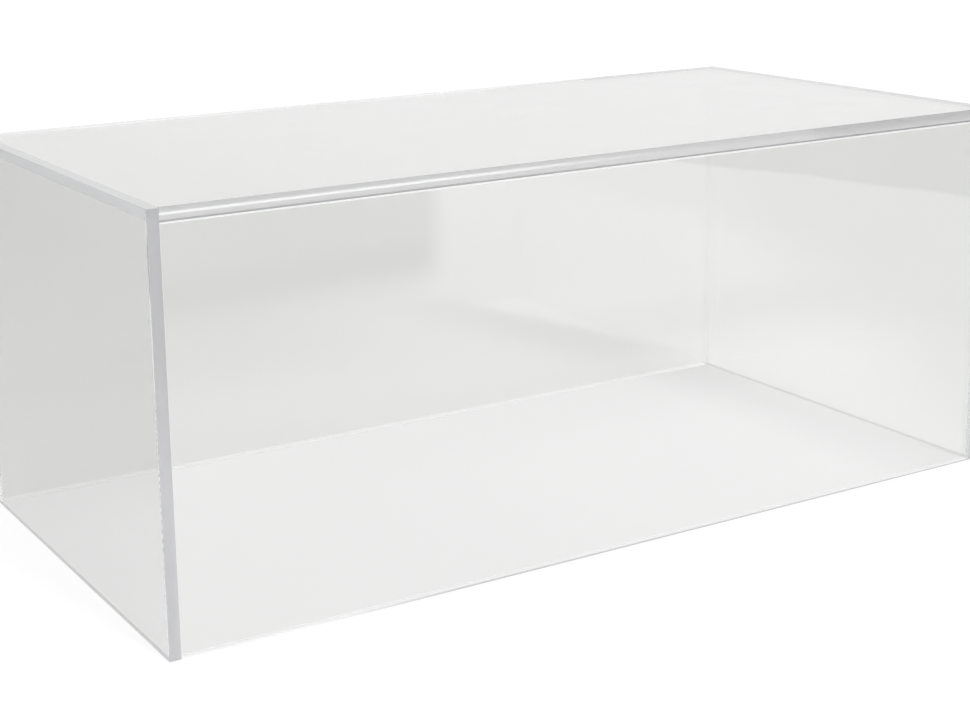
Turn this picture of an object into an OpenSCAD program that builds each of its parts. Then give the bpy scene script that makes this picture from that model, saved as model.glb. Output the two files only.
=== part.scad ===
// Clear display case: a five-sided cover of cast acrylic sheet that is set down
// over a model. The two end sheets have the full depth and height of the case.
// The top sheet lies between them, and the front and back sheets stand between
// them too, under the top sheet. The bottom is open.
// X runs along the length, Y from front to back and Z up. The origin is the
// middle of the footprint, on the surface that the case stands on.

/* [Case] */
// Outside length of the case, along X
case_length = 350; // [150:1:600]
// Outside depth of the case, from front to back
case_depth = 170; // [80:1:400]
// Outside height of the case
case_height = 142; // [60:1:400]

/* [Sheet] */
// Thickness of the acrylic sheet that all five pieces are cut from
sheet_thickness = 4; // [2:0.5:10]
// Width of the small chamfer on each edge that stays exposed
arris = 0.3; // [0.1:0.05:0.8]

/* [Joints] */
// Thickness of the cement line in each joint
cement_line = 0.05; // [0.02:0.01:0.2]

/* [Hidden] */

half_length = case_length / 2;
half_depth = case_depth / 2;
// From the middle of the case to the inner face of an end, and of a long wall
inner_half_length = half_length - sheet_thickness;
inner_half_depth = half_depth - sheet_thickness;
// Length of the sheets that are cemented between the two ends
between_ends = 2 * (inner_half_length - cement_line);
// Height of the sheets that stand under the top
under_top = case_height - sheet_thickness - cement_line;
// Side of the square bar that leaves one arris when it is laid along an edge,
// and how far it runs past the edge
bar_side = arris * sqrt(2);
bar_overrun = 1;
acrylic = [0.88, 0.92, 0.92, 0.4];

// Cutting bars, each laid corner-on along an edge that is parallel to one axis
module bar_x(y, z) {
    translate([0, y, z]) rotate([45, 0, 0])
        cube([case_length + 2 * bar_overrun, bar_side, bar_side], center = true);
}

module bar_y(x, z) {
    translate([x, 0, z]) rotate([0, 45, 0])
        cube([bar_side, case_depth + 2 * bar_overrun, bar_side], center = true);
}

module bar_z(x, y) {
    translate([x, y, case_height / 2]) rotate([0, 0, 45])
        cube([bar_side, bar_side, case_height + 2 * bar_overrun], center = true);
}

// An end sheet at the left (side = -1) or the right (side = 1). All four edges
// of its outer face are broken, and so are the other edges that stay exposed.
module end_sheet(side) {
    outer = side * half_length;
    inner = side * inner_half_length;
    difference() {
        translate([min(outer, inner), -half_depth, 0])
            cube([sheet_thickness, case_depth, case_height]);
        for (y = [-half_depth, half_depth]) {
            bar_z(outer, y);
            bar_x(y, 0);
            bar_x(y, case_height);
        }
        bar_y(outer, 0);
        bar_y(outer, case_height);
        bar_y(inner, 0);
    }
}

// A long wall at the front (side = -1) or the back (side = 1), with both edges
// of its foot broken
module long_wall(side) {
    outer = side * half_depth;
    inner = side * inner_half_depth;
    difference() {
        translate([-between_ends / 2, min(outer, inner), 0])
            cube([between_ends, sheet_thickness, under_top]);
        bar_x(outer, 0);
        bar_x(inner, 0);
    }
}

module left_end_sheet() {
    color(acrylic) end_sheet(-1);
}

module right_end_sheet() {
    color(acrylic) end_sheet(1);
}

module front_sheet() {
    color(acrylic) long_wall(-1);
}

module back_sheet() {
    color(acrylic) long_wall(1);
}

// The top lies on the two long walls, with its upper long edges broken
module top_sheet() {
    color(acrylic) difference() {
        translate([-between_ends / 2, -half_depth, case_height - sheet_thickness])
            cube([between_ends, case_depth, sheet_thickness]);
        bar_x(-half_depth, case_height);
        bar_x(half_depth, case_height);
    }
}

left_end_sheet();
right_end_sheet();
front_sheet();
back_sheet();
top_sheet();
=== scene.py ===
"""Looks of a clear five-sided display case on a pale studio table, laid out as a Blender add-on."""

import math

import bmesh
import bpy
from bpy.props import FloatProperty, FloatVectorProperty, IntProperty, PointerProperty
from mathutils import Euler, Matrix, Vector


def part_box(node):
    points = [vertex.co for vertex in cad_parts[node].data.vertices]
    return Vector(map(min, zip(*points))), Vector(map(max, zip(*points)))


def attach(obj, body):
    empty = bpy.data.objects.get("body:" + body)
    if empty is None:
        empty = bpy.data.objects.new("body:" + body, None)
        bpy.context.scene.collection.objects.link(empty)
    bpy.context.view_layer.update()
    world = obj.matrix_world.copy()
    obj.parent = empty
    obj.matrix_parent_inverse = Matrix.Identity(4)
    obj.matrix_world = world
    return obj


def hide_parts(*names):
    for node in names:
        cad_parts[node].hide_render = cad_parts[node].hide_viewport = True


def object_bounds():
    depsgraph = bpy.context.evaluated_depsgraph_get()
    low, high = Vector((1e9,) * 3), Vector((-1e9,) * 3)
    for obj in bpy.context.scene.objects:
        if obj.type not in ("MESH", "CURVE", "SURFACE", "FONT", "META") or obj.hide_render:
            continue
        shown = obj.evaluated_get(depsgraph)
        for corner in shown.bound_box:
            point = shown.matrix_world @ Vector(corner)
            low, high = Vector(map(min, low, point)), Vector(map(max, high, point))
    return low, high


bl_info = {
    "name": "Clear display case",
    "version": (1, 0, 0),
    "blender": (4, 5, 0),
    "location": "View3D > Sidebar > Display case",
    "description": "Builds the five cemented acrylic sheets of a display case, and a pale studio",
    "category": "Object",
}

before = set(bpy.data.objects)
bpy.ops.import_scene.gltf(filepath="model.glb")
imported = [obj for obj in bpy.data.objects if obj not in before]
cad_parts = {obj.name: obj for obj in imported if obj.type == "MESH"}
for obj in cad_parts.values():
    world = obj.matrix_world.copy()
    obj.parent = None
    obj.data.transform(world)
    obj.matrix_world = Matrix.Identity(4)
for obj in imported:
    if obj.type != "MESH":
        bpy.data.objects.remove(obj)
CAD_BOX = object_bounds()

BODY = "root"
MM = 0.001
# Points closer than this lie on the same plane
TOUCH = 1e-7

CASE_LOW, CASE_HIGH = CAD_BOX
# Height of the seam between the front sheet and the top
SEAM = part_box("top_sheet")[0].z
SHEET_THICKNESS = CASE_HIGH.z - SEAM

ACRYLIC_IOR = 1.49
# Lower than acrylic, so that frosted faces stay light and don't mirror the inside of their sheet
FROSTED_IOR = 1.25
FROST = (0.98, 0.98, 1.0, 1)
CEMENT_SHADE = (0.36, 0.36, 0.37, 1)
BLACK = (0, 0, 0, 1)
WHITE = (1, 1, 1, 1)

# The picture's width and height and the point that the lens axis meets, in pixels
PICTURE = (970, 728)
LENS_AXIS = (435, 285)
FOCAL_PIXELS = 1806.58
# Where the camera stands, in metres, and how it is turned, in degrees
CAMERA_PLACE = (-0.36597, -0.56881, 0.24239)
CAMERA_YAW, CAMERA_PITCH, CAMERA_ROLL = 30.765, 13.596, -0.863

# Pools of light on the table in front of the case, which only mirror images show. Each border is
# (start, full) in metres: along X for left and right, and along Y for near and far.
POOLS = (
    {"strength": 0.45, "near": (-0.20, -0.25), "far": (-0.40, -0.30), "right": (0.17, 0.07)},
    {"strength": 0.80, "far": (-0.34, -0.22), "left": (0.13, 0.19)},
    {"strength": 0.40, "near": (-0.31, -0.40), "left": (0.00, 0.12), "right": (0.44, 0.34)},
)
# The soft box in front, to the right, as borders (start, full) of the direction that it is seen in
SOFT_BOX = {"x": ((0.15, 0.30), (0.64, 0.50)), "y": ((0.10, -0.10),), "z": ((0.24, 0.35), (0.58, 0.42))}


# ---------------------------------------------------------------- settings
class SheetSettings(bpy.types.PropertyGroup):
    """Sizes and colours of the acrylic sheets"""

    crown_slope: FloatProperty(
        name="Crown slope",
        description="How far the crowned front edge of the top leans back where it meets the upper face",
        default=math.radians(38), min=math.radians(5), max=math.radians(60), subtype="ANGLE",
    )
    crown_facets: IntProperty(
        name="Crown facets",
        description="Number of facets across the crowned edge",
        default=10, min=3, max=24,
    )
    arris_radius: FloatProperty(
        name="Arris radius",
        description="Small radius on the other edges that are open to the air",
        default=0.08 * MM, min=0.02 * MM, max=0.5 * MM, unit="LENGTH",
    )
    seam_radius: FloatProperty(
        name="Seam radius",
        description="Radius on the front sheet along the seam under the top",
        default=0.9 * MM, min=0.02 * MM, max=MM, unit="LENGTH",
    )
    foot_radius: FloatProperty(
        name="Foot radius",
        description="Radius on the lower edges of the long walls",
        default=0.35 * MM, min=0.02 * MM, max=MM, unit="LENGTH",
    )
    joint_radius: FloatProperty(
        name="Joint edge radius",
        description="Small radius on the edges that meet a cemented joint",
        default=0.05 * MM, min=0.02 * MM, max=0.5 * MM, unit="LENGTH",
    )
    edge_segments: IntProperty(
        name="Edge segments",
        description="Number of facets across a rounded edge",
        default=4, min=1, max=16,
    )
    clear_colour: FloatVectorProperty(
        name="Clear colour",
        description="Light that one sheet lets through",
        default=(0.867, 0.870, 0.863), size=3, min=0.0, max=1.0, subtype="COLOR",
    )
    edge_colour: FloatVectorProperty(
        name="Edge colour",
        description="Colour of a machined edge",
        default=(0.45, 0.45, 0.462), size=3, min=0.0, max=1.0, subtype="COLOR",
    )
    # A machined edge is paler low down
    worn_colour: FloatVectorProperty(
        name="Worn colour",
        description="Colour of a machined edge low down, where hands and tables have worn it",
        default=(0.55, 0.55, 0.565), size=3, min=0.0, max=1.0, subtype="COLOR",
    )
    # Painted light: the sawn lower edges of the end sheets are painted paler, for the light of the table
    # that they rest on
    sawn_colour: FloatVectorProperty(
        name="Sawn colour",
        description="Colour of the lower edges of the end sheets, which are left as the saw cut them",
        default=(0.68, 0.68, 0.69), size=3, min=0.0, max=1.0, subtype="COLOR",
    )
    # Painted light: the upper edges of the end sheets are painted lighter, for the light from above that
    # they catch
    dusty_colour: FloatVectorProperty(
        name="Dusty colour",
        description="Colour of the upper edges of the end sheets, where dust has settled",
        default=(0.69, 0.69, 0.695), size=3, min=0.0, max=1.0, subtype="COLOR",
    )
    # Painted shade: the crowned edge is painted darker at its top than at its foot
    crown_colour: FloatVectorProperty(
        name="Crown colour",
        description="Colour of the crowned front edge of the top, where it meets the upper face",
        default=(0.50, 0.502, 0.506), size=3, min=0.0, max=1.0, subtype="COLOR",
    )
    # Painted light: the crowned edge is painted paler low down, for the lower tail of its highlight
    crown_foot_colour: FloatVectorProperty(
        name="Crown foot colour",
        description="Colour of the crowned front edge of the top, low down",
        default=(0.63, 0.63, 0.634), size=3, min=0.0, max=1.0, subtype="COLOR",
    )
    edge_roughness: FloatProperty(
        name="Edge roughness",
        description="Roughness of the machined edges",
        default=0.3, min=0.0, max=1.0, subtype="FACTOR",
    )
    shadow_tint: FloatProperty(
        name="Shadow tint",
        description="Light that one polished surface lets through to the table",
        default=0.965, min=0.0, max=1.0, subtype="FACTOR",
    )


class StageSettings(bpy.types.PropertyGroup):
    """Size, colour and light of the studio"""

    table_size: FloatProperty(
        name="Table size",
        description="Side of the square table top",
        default=6.0, min=1.0, max=20.0, unit="LENGTH",
    )
    table_gap: FloatProperty(
        name="Table gap",
        description="Film of air between the case and the table",
        default=0.1 * MM, min=0.0, max=MM, unit="LENGTH",
    )
    table_colour: FloatVectorProperty(
        name="Table colour",
        description="Colour of the table top",
        default=(0.80, 0.80, 0.80), size=3, min=0.0, max=1.0, subtype="COLOR",
    )
    table_glow: FloatProperty(
        name="Table glow",
        description="Light that the table adds for the eye and the panes, so that it looks white",
        default=0.21, min=0.0, max=1.0,
    )
    key_strength: FloatProperty(
        name="Key light",
        description="Strength of the soft key light",
        default=1.85, min=0.0, max=10.0,
    )
    key_azimuth: FloatProperty(
        name="Key azimuth",
        description="Direction of the key light, from the front towards the right",
        default=math.radians(10), subtype="ANGLE",
    )
    key_elevation: FloatProperty(
        name="Key elevation",
        description="Height of the key light above the horizon",
        default=math.radians(37), subtype="ANGLE",
    )
    key_softness: FloatProperty(
        name="Key softness",
        description="Angle that the key light fills",
        default=math.radians(9), subtype="ANGLE",
    )
    fill_strength: FloatProperty(
        name="Fill light",
        description="Strength of the even light from all round",
        default=0.7, min=0.0, max=5.0,
    )
    soft_box_strength: FloatProperty(
        name="Soft box",
        description="Strength of the soft box that shows in the crowned edge",
        default=8.5, min=0.0, max=20.0,
    )


# ---------------------------------------------------------------- node helpers
class Nodes:
    """Adds nodes to one tree, and links sockets or sets values on them."""

    def __init__(self, tree):
        self.tree = tree
        tree.nodes.clear()

    def add(self, kind, inputs=None, **attributes):
        node = self.tree.nodes.new(kind)
        for name, value in attributes.items():
            setattr(node, name, value)
        for socket, value in (inputs or {}).items():
            self.feed(node.inputs[socket], value)
        return node

    def feed(self, socket, value):
        if isinstance(value, bpy.types.NodeSocket):
            self.tree.links.new(value, socket)
        else:
            socket.default_value = value

    def math(self, operation, *values):
        node = self.add("ShaderNodeMath", operation=operation)
        for socket, value in zip(node.inputs, values):
            self.feed(socket, value)
        return node.outputs[0]

    def total(self, first, *others):
        """The sum of the values."""
        for value in others:
            first = self.math("ADD", first, value)
        return first

    def smooth(self, value, start, full):
        """0 before the start and 1 beyond the full value, with a smooth step between them."""
        inputs = {"Value": value, "From Min": start, "From Max": full}
        return self.add("ShaderNodeMapRange", inputs, interpolation_type="SMOOTHSTEP").outputs[0]

    def window(self, strength, *steps):
        """The strength times smooth steps, each given as (value, start, full)."""
        for step in steps:
            strength = self.math("MULTIPLY", self.smooth(*step), strength)
        return strength

    def blend(self, factor, low, high):
        """A number that goes from low to high with the factor."""
        node = self.add("ShaderNodeMix", data_type="FLOAT")
        self.feed(node.inputs["Factor"], factor)
        self.feed(node.inputs["A"], low)
        self.feed(node.inputs["B"], high)
        return node.outputs["Result"]

    def tint(self, factor, colour, other, blend_type="MIX"):
        """A colour that goes over to the other one with the factor."""
        node = self.add("ShaderNodeMix", data_type="RGBA", blend_type=blend_type)
        for index, value in ((0, factor), (6, colour), (7, other)):
            self.feed(node.inputs[index], value)
        return node.outputs[2]

    def grey(self, value):
        node = self.add("ShaderNodeCombineColor", {"Red": value, "Green": value, "Blue": value})
        return node.outputs[0]

    def parts(self, vector):
        """The X, Y and Z of a vector."""
        return self.add("ShaderNodeSeparateXYZ", {0: vector}).outputs

    def noise(self, place, scale, detail):
        node = self.add("ShaderNodeTexNoise", {"Vector": place, "Scale": scale, "Detail": detail})
        return node.outputs[0]

    def bump(self, height, depth):
        """The normal of a surface whose height varies by the depth."""
        node = self.add("ShaderNodeBump", {"Height": height, "Strength": 1.0, "Distance": depth})
        return node.outputs[0]


# ---------------------------------------------------------------- shared surface effects
def new_group(name, inputs, outputs):
    """An empty node group with its sockets, as its nodes, its inputs and its tree."""
    tree = bpy.data.node_groups.new(name, "ShaderNodeTree")
    for in_out, sockets in (("INPUT", inputs), ("OUTPUT", outputs)):
        for socket, kind in sockets.items():
            tree.interface.new_socket(socket, in_out=in_out, socket_type=kind)
    nodes = Nodes(tree)
    return nodes, nodes.add("NodeGroupInput").outputs, tree


def use_group(nodes, build, **inputs):
    """The outputs of a shared effect, which is built the first time that a material asks for it."""
    tree = bpy.data.node_groups.get(build.__name__) or build()
    node = nodes.add("ShaderNodeGroup", node_tree=tree)
    for name, value in inputs.items():
        nodes.feed(node.inputs[name], value)
    return node.outputs


def cast_ripple():
    """The faint waviness of cast sheet, as a height."""
    nodes, start, tree = new_group(
        "cast_ripple",
        {"Place": "NodeSocketVector"},
        {"Height": "NodeSocketFloat"},
    )
    broad = nodes.noise(start["Place"], 9.0, 1.0)
    close = nodes.noise(start["Place"], 24.0, 1.0)
    nodes.add("NodeGroupOutput", {"Height": nodes.blend(0.7, broad, close)})
    return tree


def fine_dust():
    """A few specks of dust and a very weak bloom, as the share of light that they hold back."""
    nodes, start, tree = new_group(
        "fine_dust",
        {"Place": "NodeSocketVector"},
        {"Held": "NodeSocketFloat"},
    )
    cells = nodes.add("ShaderNodeTexVoronoi", {"Vector": start["Place"], "Scale": 70.0}).outputs
    pick = nodes.add("ShaderNodeSeparateColor", {0: cells["Color"]}).outputs[0]
    speck = nodes.window(0.30, (cells["Distance"], 0.034, 0.020), (pick, 0.80, 0.82))
    bloom = nodes.math("MULTIPLY", nodes.noise(start["Place"], 14.0, 3.0), 0.015)
    nodes.add("NodeGroupOutput", {"Held": nodes.total(speck, bloom)})
    return tree


def cutter_marks():
    """Marks that a cutter leaves across an edge, as a height and as a streak from 0 to 1."""
    nodes, start, tree = new_group(
        "cutter_marks",
        {"Place": "NodeSocketVector"},
        {"Height": "NodeSocketFloat", "Streak": "NodeSocketFloat"},
    )
    x, y, z = nodes.parts(start["Place"])
    # The shares differ, so that the marks cross an edge whichever way it runs
    along = nodes.total(y, nodes.math("MULTIPLY", z, 1.13), nodes.math("MULTIPLY", x, 0.83))
    line = nodes.add(
        "ShaderNodeTexNoise",
        {"W": along, "Scale": 1400.0, "Detail": 2.0},
        noise_dimensions="1D",
    ).outputs[0]
    patch = nodes.noise(start["Place"], 60.0, 2.0)
    nodes.add("NodeGroupOutput", {"Height": line, "Streak": nodes.blend(0.5, line, patch)})
    return tree


def seam_shade():
    """Darkens a colour in a narrow band along the seam under the top, where cement has shrunk back."""
    nodes, start, tree = new_group(
        "seam_shade",
        {"Place": "NodeSocketVector", "Color": "NodeSocketColor"},
        {"Color": "NodeSocketColor"},
    )
    height = nodes.parts(start["Place"])[2]
    below = (height, SEAM - 0.48 * MM, SEAM - 0.34 * MM)
    above = (height, SEAM + 0.24 * MM, SEAM + 0.10 * MM)
    band = nodes.window(1.0, below, above)
    nodes.add("NodeGroupOutput", {"Color": nodes.tint(band, start["Color"], CEMENT_SHADE)})
    return tree


# ---------------------------------------------------------------- materials
def new_material(name):
    """A material without nodes, and the place and the normal of its surface on the piece."""
    material = bpy.data.materials.new(name)
    material.use_nodes = True
    nodes = Nodes(material.node_tree)
    coordinates = nodes.add("ShaderNodeTexCoord").outputs
    return material, nodes, coordinates["Object"], coordinates["Normal"]


def dusted(nodes, place, colour):
    """A colour with the light taken out that fine dust holds back."""
    held = use_group(nodes, fine_dust, Place=place)["Held"]
    return nodes.tint(held, colour, BLACK)


def end_material(nodes, tint, inputs):
    """Ends a material: light for the table goes straight through with the tint, and all else meets
    the Principled surface with its inputs."""
    principled = nodes.add("ShaderNodeBsdfPrincipled", inputs)
    clear = nodes.add("ShaderNodeBsdfTransparent", {"Color": (tint, tint, tint, 1)})
    rays = nodes.add("ShaderNodeLightPath").outputs
    lighting = nodes.math("MAXIMUM", rays["Is Shadow Ray"], rays["Is Diffuse Ray"])
    mix = nodes.add("ShaderNodeMixShader", {0: lighting, 1: principled.outputs[0], 2: clear.outputs[0]})
    nodes.add("ShaderNodeOutputMaterial", {"Surface": mix.outputs[0]})


def polished_acrylic(settings):
    """The broad faces: cast sheet with a very faint waviness and a little dust."""
    material, nodes, place, _ = new_material("polished_acrylic")
    ripple = use_group(nodes, cast_ripple, Place=place)["Height"]
    end_material(nodes, settings.shadow_tint, {
        "Base Color": dusted(nodes, place, (*settings.clear_colour, 1)),
        "Roughness": 0.0,
        "IOR": ACRYLIC_IOR,
        "Transmission Weight": 1.0,
        "Normal": nodes.bump(ripple, 0.06 * MM),
    })
    return material


def polished_edge(settings):
    """The back edges of the top and the end sheets: cut, scraped and polished clear."""
    material, nodes, place, _ = new_material("polished_edge")
    ripple = use_group(nodes, cast_ripple, Place=place)["Height"]
    end_material(nodes, settings.shadow_tint, {
        "Base Color": dusted(nodes, place, (*settings.clear_colour, 1)),
        "Roughness": 0.1,
        "IOR": ACRYLIC_IOR,
        "Transmission Weight": 1.0,
        "Normal": nodes.bump(ripple, 0.03 * MM),
    })
    return material


def satin_edge(settings):
    """The narrow faces of the end sheets: machined, so that they show a satin grey. They are paler low
    down. The upper ones are painted lighter, for the light from above that they catch, and the lower
    ones are sawn and painted paler, for the light of the table that they rest on."""
    material, nodes, place, normal = new_material("satin_edge")
    marks = use_group(nodes, cutter_marks, Place=place)
    height = nodes.parts(place)[2]
    up = nodes.parts(normal)[2]
    # The edge is paler low down
    low_down = nodes.smooth(height, 110 * MM, 20 * MM)
    colour = nodes.tint(low_down, (*settings.edge_colour, 1), (*settings.worn_colour, 1))
    # Painted light: the lower faces are painted paler, for the light of the table that they rest on
    colour = nodes.tint(nodes.smooth(up, -0.6, -0.9), colour, (*settings.sawn_colour, 1))
    # Painted light: the upper faces are painted lighter, for the light from above that they catch
    colour = nodes.tint(nodes.smooth(up, 0.6, 0.9), colour, (*settings.dusty_colour, 1))
    colour = nodes.tint(nodes.math("MULTIPLY", marks["Streak"], 0.10), colour, WHITE)
    end_material(nodes, settings.shadow_tint * 0.85, {
        "Base Color": colour,
        "Roughness": settings.edge_roughness,
        "IOR": ACRYLIC_IOR,
        "Transmission Weight": 0.3,
        "Normal": nodes.bump(marks["Height"], 0.01 * MM),
    })
    return material


def crowned_edge(settings):
    """The crowned front edge of the top: polished enough to take a highlight."""
    material, nodes, place, _ = new_material("crowned_edge")
    marks = use_group(nodes, cutter_marks, Place=place)
    # Painted light and shade: paler at the foot, for the lower tail of the highlight, and darker at the
    # top
    margin = 0.1 * SHEET_THICKNESS
    rise = nodes.smooth(nodes.parts(place)[2], SEAM + margin, CASE_HIGH.z - margin)
    colour = nodes.tint(rise, (*settings.crown_foot_colour, 1), (*settings.crown_colour, 1))
    colour = use_group(nodes, seam_shade, Place=place, Color=colour)["Color"]
    colour = nodes.tint(nodes.math("MULTIPLY", marks["Streak"], 0.06), colour, BLACK)
    end_material(nodes, settings.shadow_tint * 0.85, {
        "Base Color": colour,
        "Roughness": 0.1,
        "IOR": ACRYLIC_IOR,
        "Transmission Weight": 0.6,
        "Normal": nodes.bump(marks["Height"], 0.002 * MM),
    })
    return material


def frosted_edge(settings):
    """The small bevels of the long walls: scraped, so that they catch the light as a fine pale line."""
    material, nodes, place, _ = new_material("frosted_edge")
    colour = use_group(nodes, seam_shade, Place=place, Color=FROST)["Color"]
    end_material(nodes, settings.shadow_tint, {
        "Base Color": dusted(nodes, place, colour),
        "Roughness": 0.4,
        "IOR": FROSTED_IOR,
        "Transmission Weight": 0.5,
    })
    return material


def hidden_edge(settings):
    """The ends of the top, sawn and not polished, seen through the end sheets."""
    material, nodes, place, _ = new_material("hidden_edge")
    marks = use_group(nodes, cutter_marks, Place=place)
    end_material(nodes, settings.shadow_tint * 0.8, {
        "Base Color": nodes.tint(nodes.math("MULTIPLY", marks["Streak"], 0.04), FROST, BLACK),
        "Roughness": 0.4,
        "IOR": FROSTED_IOR,
        "Transmission Weight": 1.0,
        "Normal": nodes.bump(marks["Height"], 0.01 * MM),
    })
    return material


def joined(name, colour):
    """A face with no air behind it, so that light goes straight on into what lies beyond."""
    material, nodes, place, _ = new_material(name)
    end_material(nodes, 1.0, {
        "Base Color": dusted(nodes, place, colour),
        "Roughness": 0.0,
        "IOR": 1.0,
        "Transmission Weight": 1.0,
    })
    return material


def cement(settings):
    """Cemented faces: the cement fills the joint."""
    return joined("cement", WHITE)


def foot_edge(settings):
    """The lower faces of the long walls, which sit so close that the table shows through them."""
    return joined("foot_edge", (0.97, 0.97, 0.97, 1))


# ---------------------------------------------------------------- sheets
FINISHES = {
    "polished_acrylic": polished_acrylic,
    "polished_edge": polished_edge,
    "satin_edge": satin_edge,
    "crowned_edge": crowned_edge,
    "frosted_edge": frosted_edge,
    "hidden_edge": hidden_edge,
    "cement": cement,
    "foot_edge": foot_edge,
}


def finish(name, settings):
    """A finish by its name, made the first time that a sheet asks for it."""
    return bpy.data.materials.get(name) or FINISHES[name](settings)


def sides_of(points, low, high):
    """Names the box sides that all the points lie on, such as {"x-", "z+"}."""
    sides = set()
    for axis, letter in enumerate("xyz"):
        for end, sign in ((low, "-"), (high, "+")):
            if all(abs(point.co[axis] - end[axis]) < TOUCH for point in points):
                sides.add(letter + sign)
    return sides


def all_edges():
    """Every edge of a box as a pair of sides, such as ("x-", "z+")."""
    return [(a + i, b + j) for a, b in ("xy", "xz", "yz") for i in "-+" for j in "-+"]


def everything_in(bm):
    return [*bm.verts, *bm.edges, *bm.faces]


def crown_front(bm, low, high, slope, facets):
    """Cuts the y- side to an arc that stands upright at the lower edge and leans back by the slope
    at the upper one."""
    radius = (high.z - low.z) / math.sin(slope)
    for facet in range(facets):
        middle = slope * (facet + 0.5) / facets
        upper = slope * (facet + 1) / facets
        bmesh.ops.bisect_plane(
            bm,
            geom=everything_in(bm),
            dist=TOUCH,
            plane_co=(0, low.y + radius * (1 - math.cos(upper)), low.z + radius * math.sin(upper)),
            plane_no=(0, -math.cos(middle), math.sin(middle)),
            clear_outer=True,
        )
        bmesh.ops.holes_fill(bm, edges=[edge for edge in bm.edges if edge.is_boundary])
    bmesh.ops.recalc_face_normals(bm, faces=bm.faces)


def weigh_edges(bm, low, high, radii, joint_radius):
    """Gives each edge that is rounded its share of the largest radius, which is returned."""
    largest = max(radii.values())
    share = bm.edges.layers.float.new("bevel_weight_edge")
    for edge in bm.edges:
        pair = sides_of(edge.verts, low, high)
        beside = [bool(sides_of(face.verts, low, high)) for face in edge.link_faces]
        if len(pair) == 2:
            edge[share] = radii.get(tuple(sorted(pair)), joint_radius) / largest
        elif beside[0] != beside[1]:
            edge[share] = joint_radius / largest
    return largest


def make_sheet(node, settings, finishes, radii, cuts=(), crowned=False):
    """One sheet in its node's box. finishes names the finish of each side but the broad ones, and
    of the bevels. radii gives pairs of sides, such as ("x-", "z+"), the radius of the edge that they
    share; the rest have the joint radius. cuts lists (axis, position, side, beyond), where a
    cemented band starts on a broad side; beyond is 1 if it lies higher on the axis, or else -1.
    A crowned sheet has an arc for its y- side."""
    low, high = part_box(node)
    size = high - low
    thin = min(range(3), key=lambda axis: size[axis])
    bm = bmesh.new()
    bmesh.ops.create_cube(bm, size=1)
    for vertex in bm.verts:
        vertex.co = Vector([low[i] + (vertex.co[i] + 0.5) * size[i] for i in range(3)])
    if crowned:
        crown_front(bm, low, high, settings.crown_slope, settings.crown_facets)
    for axis, position, _, _ in cuts:
        place = Vector([position * (i == axis) for i in range(3)])
        across = Vector([float(i == axis) for i in range(3)])
        bmesh.ops.bisect_plane(bm, geom=everything_in(bm), plane_co=place, plane_no=across)
    largest = weigh_edges(bm, low, high, radii, settings.joint_radius)
    names = ["polished_acrylic", "cement", *sorted(set(finishes.values()) - {"cement"})]
    for face in bm.faces:
        # The facets of a crown lie on no side of the box
        side = min(sides_of(face.verts, low, high), default="y-")
        middle = face.calc_center_median()
        name = "polished_acrylic" if side[0] == "xyz"[thin] else finishes[side]
        for axis, position, where, beyond in cuts:
            if where == side and (middle[axis] - position) * beyond > 0:
                name = "cement"
        face.material_index = names.index(name)
        face.smooth = True
    mesh = bpy.data.meshes.new(node + "_clear")
    bm.to_mesh(mesh)
    bm.free()
    for name in names:
        mesh.materials.append(finish(name, settings))
    piece = bpy.data.objects.new(node + "_clear", mesh)
    bpy.context.scene.collection.objects.link(piece)
    bevel = piece.modifiers.new("rounded_edges", "BEVEL")
    bevel.width = largest
    bevel.segments = settings.edge_segments
    bevel.limit_method = "WEIGHT"
    bevel.material = names.index(finishes["bevel"])
    normals = piece.modifiers.new("flat_faces", "WEIGHTED_NORMAL")
    normals.weight = 100
    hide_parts(node)
    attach(piece, BODY)


# ---------------------------------------------------------------- stage
def make_camera():
    """The camera stands to the left of the case and a little above it."""
    camera = bpy.data.cameras.new("camera")
    holder = bpy.data.objects.new("camera", camera)
    bpy.context.scene.collection.objects.link(holder)
    camera.sensor_fit = "HORIZONTAL"
    camera.sensor_width = 36
    camera.lens = FOCAL_PIXELS * camera.sensor_width / PICTURE[0]
    camera.shift_x = (PICTURE[0] / 2 - LENS_AXIS[0]) / PICTURE[0]
    camera.shift_y = (LENS_AXIS[1] - PICTURE[1] / 2) / PICTURE[0]
    camera.clip_start = 0.01
    holder.matrix_world = (
        Matrix.Translation(CAMERA_PLACE)
        @ Matrix.Rotation(math.radians(-CAMERA_YAW), 4, "Z")
        @ Matrix.Rotation(math.radians(90 - CAMERA_PITCH), 4, "X")
        @ Matrix.Rotation(math.radians(CAMERA_ROLL), 4, "Z")
    )
    bpy.context.scene.camera = holder


def seen_masks(nodes):
    """1 where a ray shows the studio to the eye, 1 where it got there by a mirror image in the first
    pane that it met, and 1 where it got there by way of any pane."""
    rays = nodes.add("ShaderNodeLightPath").outputs
    through = nodes.math("MAXIMUM", rays["Is Glossy Ray"], rays["Is Transmission Ray"])
    seen = nodes.math("MAXIMUM", rays["Is Camera Ray"], through)
    mirrored = nodes.math("COMPARE", rays["Glossy Depth"], 1.5, 1.0)
    first = nodes.math("LESS_THAN", rays["Transmission Depth"], 2.5)
    return seen, nodes.math("MULTIPLY", mirrored, first), through


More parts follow.
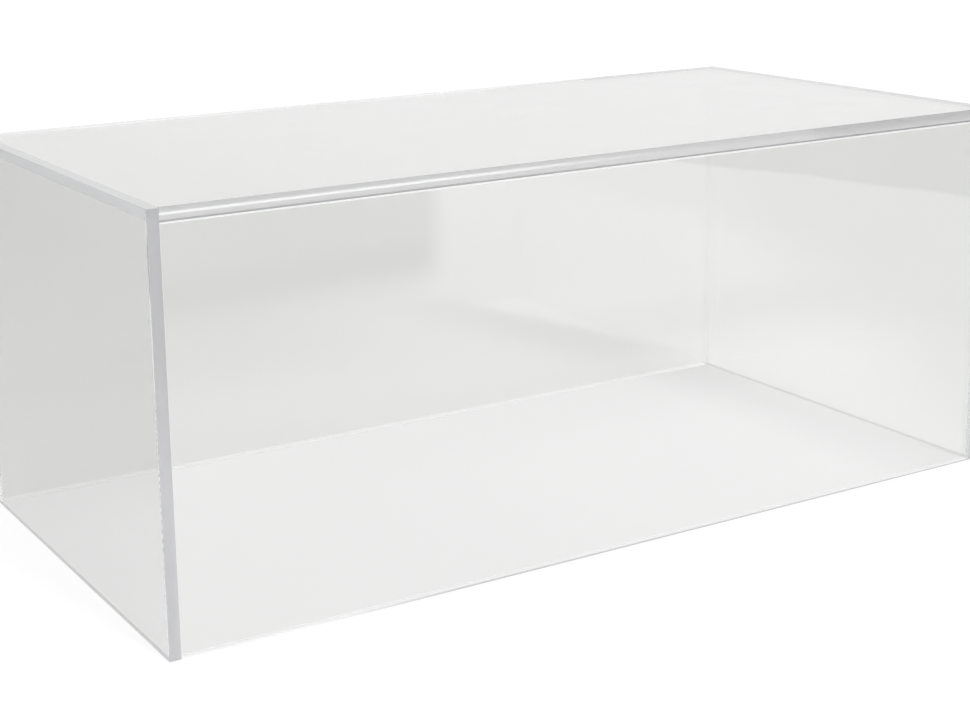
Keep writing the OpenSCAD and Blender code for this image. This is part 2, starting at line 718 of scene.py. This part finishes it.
def mirrored_level(nodes, x, y):
    """Painted reflection: how bright the table looks in the mirror image of a pane. Places on it are in
    metres.
    """

    def leaning(share_x, share_y):
        return nodes.total(nodes.math("MULTIPLY", x, share_x), nodes.math("MULTIPLY", y, share_y))

    # The table is brightest to the right of the middle, and has pools of light
    level = nodes.blend(nodes.smooth(x, -0.40, 0.25), 0.42, 1.15)
    axes = {"left": x, "right": x, "near": y, "far": y}
    for pool in POOLS:
        borders = [(axes[side], *pool[side]) for side in axes if side in pool]
        level = nodes.total(level, nodes.window(pool["strength"], *borders))
    # Towards the right it is even
    level = nodes.blend(nodes.smooth(leaning(1.0, 0.6), 0.07, 0.20), level, 0.85)
    # A streak of shade runs out from the right corner
    side = leaning(1.0, -0.29)
    borders = [(side, 0.266, 0.252), (side, 0.19, 0.25), (y, -0.26, -0.30), (y, -0.46, -0.38)]
    level = nodes.math("SUBTRACT", level, nodes.window(0.55, *borders))
    # A wide field far to the right is in shade
    field = nodes.window(1.0, (leaning(1.0, -0.31), 0.730, 0.750), (y, -0.20, -0.40))
    level = nodes.blend(field, level, 0.15)
    # So is a patch to the left of it, which is paler far off
    patch = nodes.window(1.0, (leaning(0.1, 1.0), -0.400, -0.525), (leaning(1.0, 0.6), -0.118, -0.140))
    return nodes.blend(patch, level, nodes.blend(nodes.smooth(y, -0.52, -0.60), 0.0, 0.28))


def plain_level(nodes, x, y, through):
    """How bright the table looks to the eye, and through the panes where that is 1."""
    right = CASE_HIGH.x - SHEET_THICKNESS
    back = CASE_HIGH.y - SHEET_THICKNESS
    across = nodes.window(1.0, (x, right + MM, right), (x, -right - MM, -right))
    inside = nodes.window(across, (y, back + 3 * MM, back + MM), (y, -back - MM, -back))
    # Painted shade: inside the case it darkens towards the back and the right, and a little to the left
    dark = nodes.total(
        nodes.window(0.050, (y, 0.0, back), (x, -0.12, 0.10)),
        nodes.window(0.030, (y, 0.03, back)),
        nodes.window(0.130, (x, right - 0.05, right)),
        nodes.window(0.015, (x, 0.05, -0.08)),
    )
    dark = nodes.math("MULTIPLY", dark, inside)
    # A thin line of painted shade lies under the front sheet, and fades out to the left
    front = CASE_LOW.y
    borders = [(y, front - 0.5 * MM, front - 0.2 * MM), (y, front + 2.1 * MM, front + 1.6 * MM)]
    line = nodes.window(across, *borders, (x, -0.14, -0.06))
    dark = nodes.total(dark, nodes.math("MULTIPLY", line, 0.41))
    level = nodes.math("SUBTRACT", 1.0, dark)
    # A thin line of painted light lies along the foot of the back sheet
    foot = CASE_HIGH.y
    borders = [(y, foot - 1.5 * MM, foot - MM), (y, foot + 3.5 * MM, foot + 2 * MM)]
    level = nodes.total(level, nodes.math("MULTIPLY", nodes.window(across, *borders), 0.14))
    # Painted shade: through the panes, the table behind the case is a little darker to the left
    return nodes.blend(nodes.window(through, (y, 0.10, 0.35), (x, 0.45, 0.10)), level, 0.95)


def table_material(settings):
    """A pale table that still shows the shadow of the case, with painted shade and light on it."""
    material, nodes, place, _ = new_material("pale_table")
    x, y, _ = nodes.parts(place)
    seen, mirrored, through = seen_masks(nodes)
    level = nodes.blend(mirrored, plain_level(nodes, x, y, through), mirrored_level(nodes, x, y))
    colour = nodes.tint(1.0, (*settings.table_colour, 1), nodes.grey(level), "MULTIPLY")
    diffuse = nodes.add("ShaderNodeBsdfDiffuse", {"Color": colour})
    strength = nodes.math("MULTIPLY", nodes.math("MULTIPLY", seen, level), settings.table_glow)
    glow = nodes.add("ShaderNodeEmission", {"Color": WHITE, "Strength": strength})
    both = nodes.add("ShaderNodeAddShader", {0: diffuse.outputs[0], 1: glow.outputs[0]})
    nodes.add("ShaderNodeOutputMaterial", {"Surface": both.outputs[0]})
    material.cycles.emission_sampling = "NONE"
    return material


def make_table(settings):
    mesh = bpy.data.meshes.new("table")
    bm = bmesh.new()
    bmesh.ops.create_grid(bm, x_segments=1, y_segments=1, size=settings.table_size / 2)
    bm.to_mesh(mesh)
    bm.free()
    mesh.materials.append(table_material(settings))
    table = bpy.data.objects.new("table", mesh)
    table.location.z = -settings.table_gap
    bpy.context.scene.collection.objects.link(table)


def make_key(settings):
    """A soft key light from the front right, which only lights surfaces and shows in no reflection."""
    lamp = bpy.data.lights.new("key_light", "SUN")
    lamp.energy = settings.key_strength
    lamp.angle = settings.key_softness
    holder = bpy.data.objects.new("key_light", lamp)
    holder.rotation_euler = Euler((math.pi / 2 - settings.key_elevation, 0, settings.key_azimuth))
    holder.visible_glossy = False
    holder.visible_transmission = False
    bpy.context.scene.collection.objects.link(holder)


def make_world(settings):
    """White to the eye, an even fill to the table, and a grey studio in mirror images."""
    world = bpy.data.worlds.new("studio")
    world.use_nodes = True
    bpy.context.scene.world = world
    nodes = Nodes(world.node_tree)
    direction = nodes.parts(nodes.add("ShaderNodeTexCoord").outputs["Generated"])
    axes = dict(zip("xyz", direction))
    seen, mirrored, _ = seen_masks(nodes)
    studio = nodes.blend(nodes.smooth(axes["x"], -0.1, 0.7), 0.815, 0.925)
    shown = nodes.blend(mirrored, 1.0, studio)
    # The soft box shows only where the first surface that the eye meets mirrors it
    rays = nodes.add("ShaderNodeLightPath").outputs
    outer = nodes.math("COMPARE", rays["Glossy Depth"], 1.0, 0.5)
    outer = nodes.math("MULTIPLY", outer, nodes.math("LESS_THAN", rays["Transmission Depth"], 0.5))
    borders = [(axes[letter], *border) for letter in SOFT_BOX for border in SOFT_BOX[letter]]
    shown = nodes.blend(nodes.window(outer, *borders), shown, settings.soft_box_strength)
    # More of the fill comes from behind
    fill = nodes.blend(nodes.smooth(axes["y"], -0.8, 0.8), 0.5, 1.5)
    fill = nodes.math("MULTIPLY", fill, settings.fill_strength)
    strength = nodes.blend(seen, fill, shown)
    background = nodes.add("ShaderNodeBackground", {"Color": WHITE, "Strength": strength})
    nodes.add("ShaderNodeOutputWorld", {"Surface": background.outputs[0]})
    world.cycles.sampling_method = "NONE"


# ---------------------------------------------------------------- operators
class DISPLAYCASE_OT_stage(bpy.types.Operator):
    """Sets up the camera, the pale table, the key light and the studio round it"""

    bl_idname = "display_case.set_stage"
    bl_label = "Stage"

    def execute(self, context):
        settings = context.scene.display_case_stage
        make_camera()
        make_table(settings)
        make_key(settings)
        make_world(settings)
        scene = context.scene
        scene.view_settings.view_transform = "Standard"
        # Light that is guided along inside a sheet meets its faces many times
        scene.cycles.max_bounces = 96
        scene.cycles.glossy_bounces = 96
        scene.cycles.transmission_bounces = 48
        scene.cycles.transparent_max_bounces = 24
        return {"FINISHED"}


class DISPLAYCASE_OT_end_sheets(bpy.types.Operator):
    """Makes the two end sheets, which have the full depth and height of the case"""

    bl_idname = "display_case.make_end_sheets"
    bl_label = "End sheets"

    def execute(self, context):
        settings = context.scene.display_case_sheets
        radii = {pair: settings.arris_radius for pair in all_edges()}
        finishes = {
            "y-": "satin_edge",
            "y+": "polished_edge",
            "z-": "satin_edge",
            "z+": "satin_edge",
            "bevel": "satin_edge",
        }
        for node, inner in (("left_end_sheet", "x+"), ("right_end_sheet", "x-")):
            cuts = [
                (1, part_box("front_sheet")[1].y, inner, -1),
                (1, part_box("back_sheet")[0].y, inner, 1),
                (2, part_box("top_sheet")[0].z, inner, 1),
            ]
            make_sheet(node, settings, finishes, radii, cuts)
        return {"FINISHED"}


class DISPLAYCASE_OT_long_walls(bpy.types.Operator):
    """Makes the front and back sheets, which stand between the ends and under the top"""

    bl_idname = "display_case.make_long_walls"
    bl_label = "Front and back sheets"

    def execute(self, context):
        settings = context.scene.display_case_sheets
        feet = {("y-", "z-"): settings.foot_radius, ("y+", "z-"): settings.foot_radius}
        seam = {("y-", "z+"): settings.seam_radius}
        finishes = {
            "x-": "cement",
            "x+": "cement",
            "z-": "foot_edge",
            "z+": "cement",
            "bevel": "frosted_edge",
        }
        make_sheet("front_sheet", settings, finishes, {**feet, **seam})
        make_sheet("back_sheet", settings, finishes, feet)
        return {"FINISHED"}


class DISPLAYCASE_OT_top_sheet(bpy.types.Operator):
    """Makes the top sheet, which lies between the ends"""

    bl_idname = "display_case.make_top_sheet"
    bl_label = "Top sheet"

    def execute(self, context):
        settings = context.scene.display_case_sheets
        radii = {
            ("y+", "z+"): settings.arris_radius,
            ("y-", "z-"): settings.seam_radius / 2,
            ("y+", "z-"): settings.arris_radius,
        }
        cuts = [
            (1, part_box("front_sheet")[1].y, "z-", -1),
            (1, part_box("back_sheet")[0].y, "z-", 1),
        ]
        finishes = {
            "x-": "hidden_edge",
            "x+": "hidden_edge",
            "y-": "crowned_edge",
            "y+": "polished_edge",
            "bevel": "crowned_edge",
        }
        make_sheet("top_sheet", settings, finishes, radii, cuts, crowned=True)
        return {"FINISHED"}


class DISPLAYCASE_PT_panel(bpy.types.Panel):
    """Lists the settings and the operators of the display case"""

    bl_idname = "DISPLAYCASE_PT_panel"
    bl_label = "Display case"
    bl_space_type = "VIEW_3D"
    bl_region_type = "UI"
    bl_category = "Display case"

    def draw(self, context):
        for settings in (context.scene.display_case_sheets, context.scene.display_case_stage):
            box = self.layout.box()
            for name in settings.__annotations__:
                box.prop(settings, name)
        for operator in OPERATORS:
            self.layout.operator(operator.bl_idname)


OPERATORS = (
    DISPLAYCASE_OT_stage,
    DISPLAYCASE_OT_end_sheets,
    DISPLAYCASE_OT_long_walls,
    DISPLAYCASE_OT_top_sheet,
)
CLASSES = (SheetSettings, StageSettings, *OPERATORS, DISPLAYCASE_PT_panel)


def register():
    for cls in CLASSES:
        bpy.utils.register_class(cls)
    bpy.types.Scene.display_case_sheets = PointerProperty(type=SheetSettings)
    bpy.types.Scene.display_case_stage = PointerProperty(type=StageSettings)


def unregister():
    del bpy.types.Scene.display_case_stage
    del bpy.types.Scene.display_case_sheets
    for cls in reversed(CLASSES):
        bpy.utils.unregister_class(cls)


def main():
    register()
    bpy.ops.display_case.set_stage()
    bpy.ops.display_case.make_end_sheets()
    bpy.ops.display_case.make_long_walls()
    bpy.ops.display_case.make_top_sheet()
    bpy.context.view_layer.update()


if __name__ == "__main__":
    main()
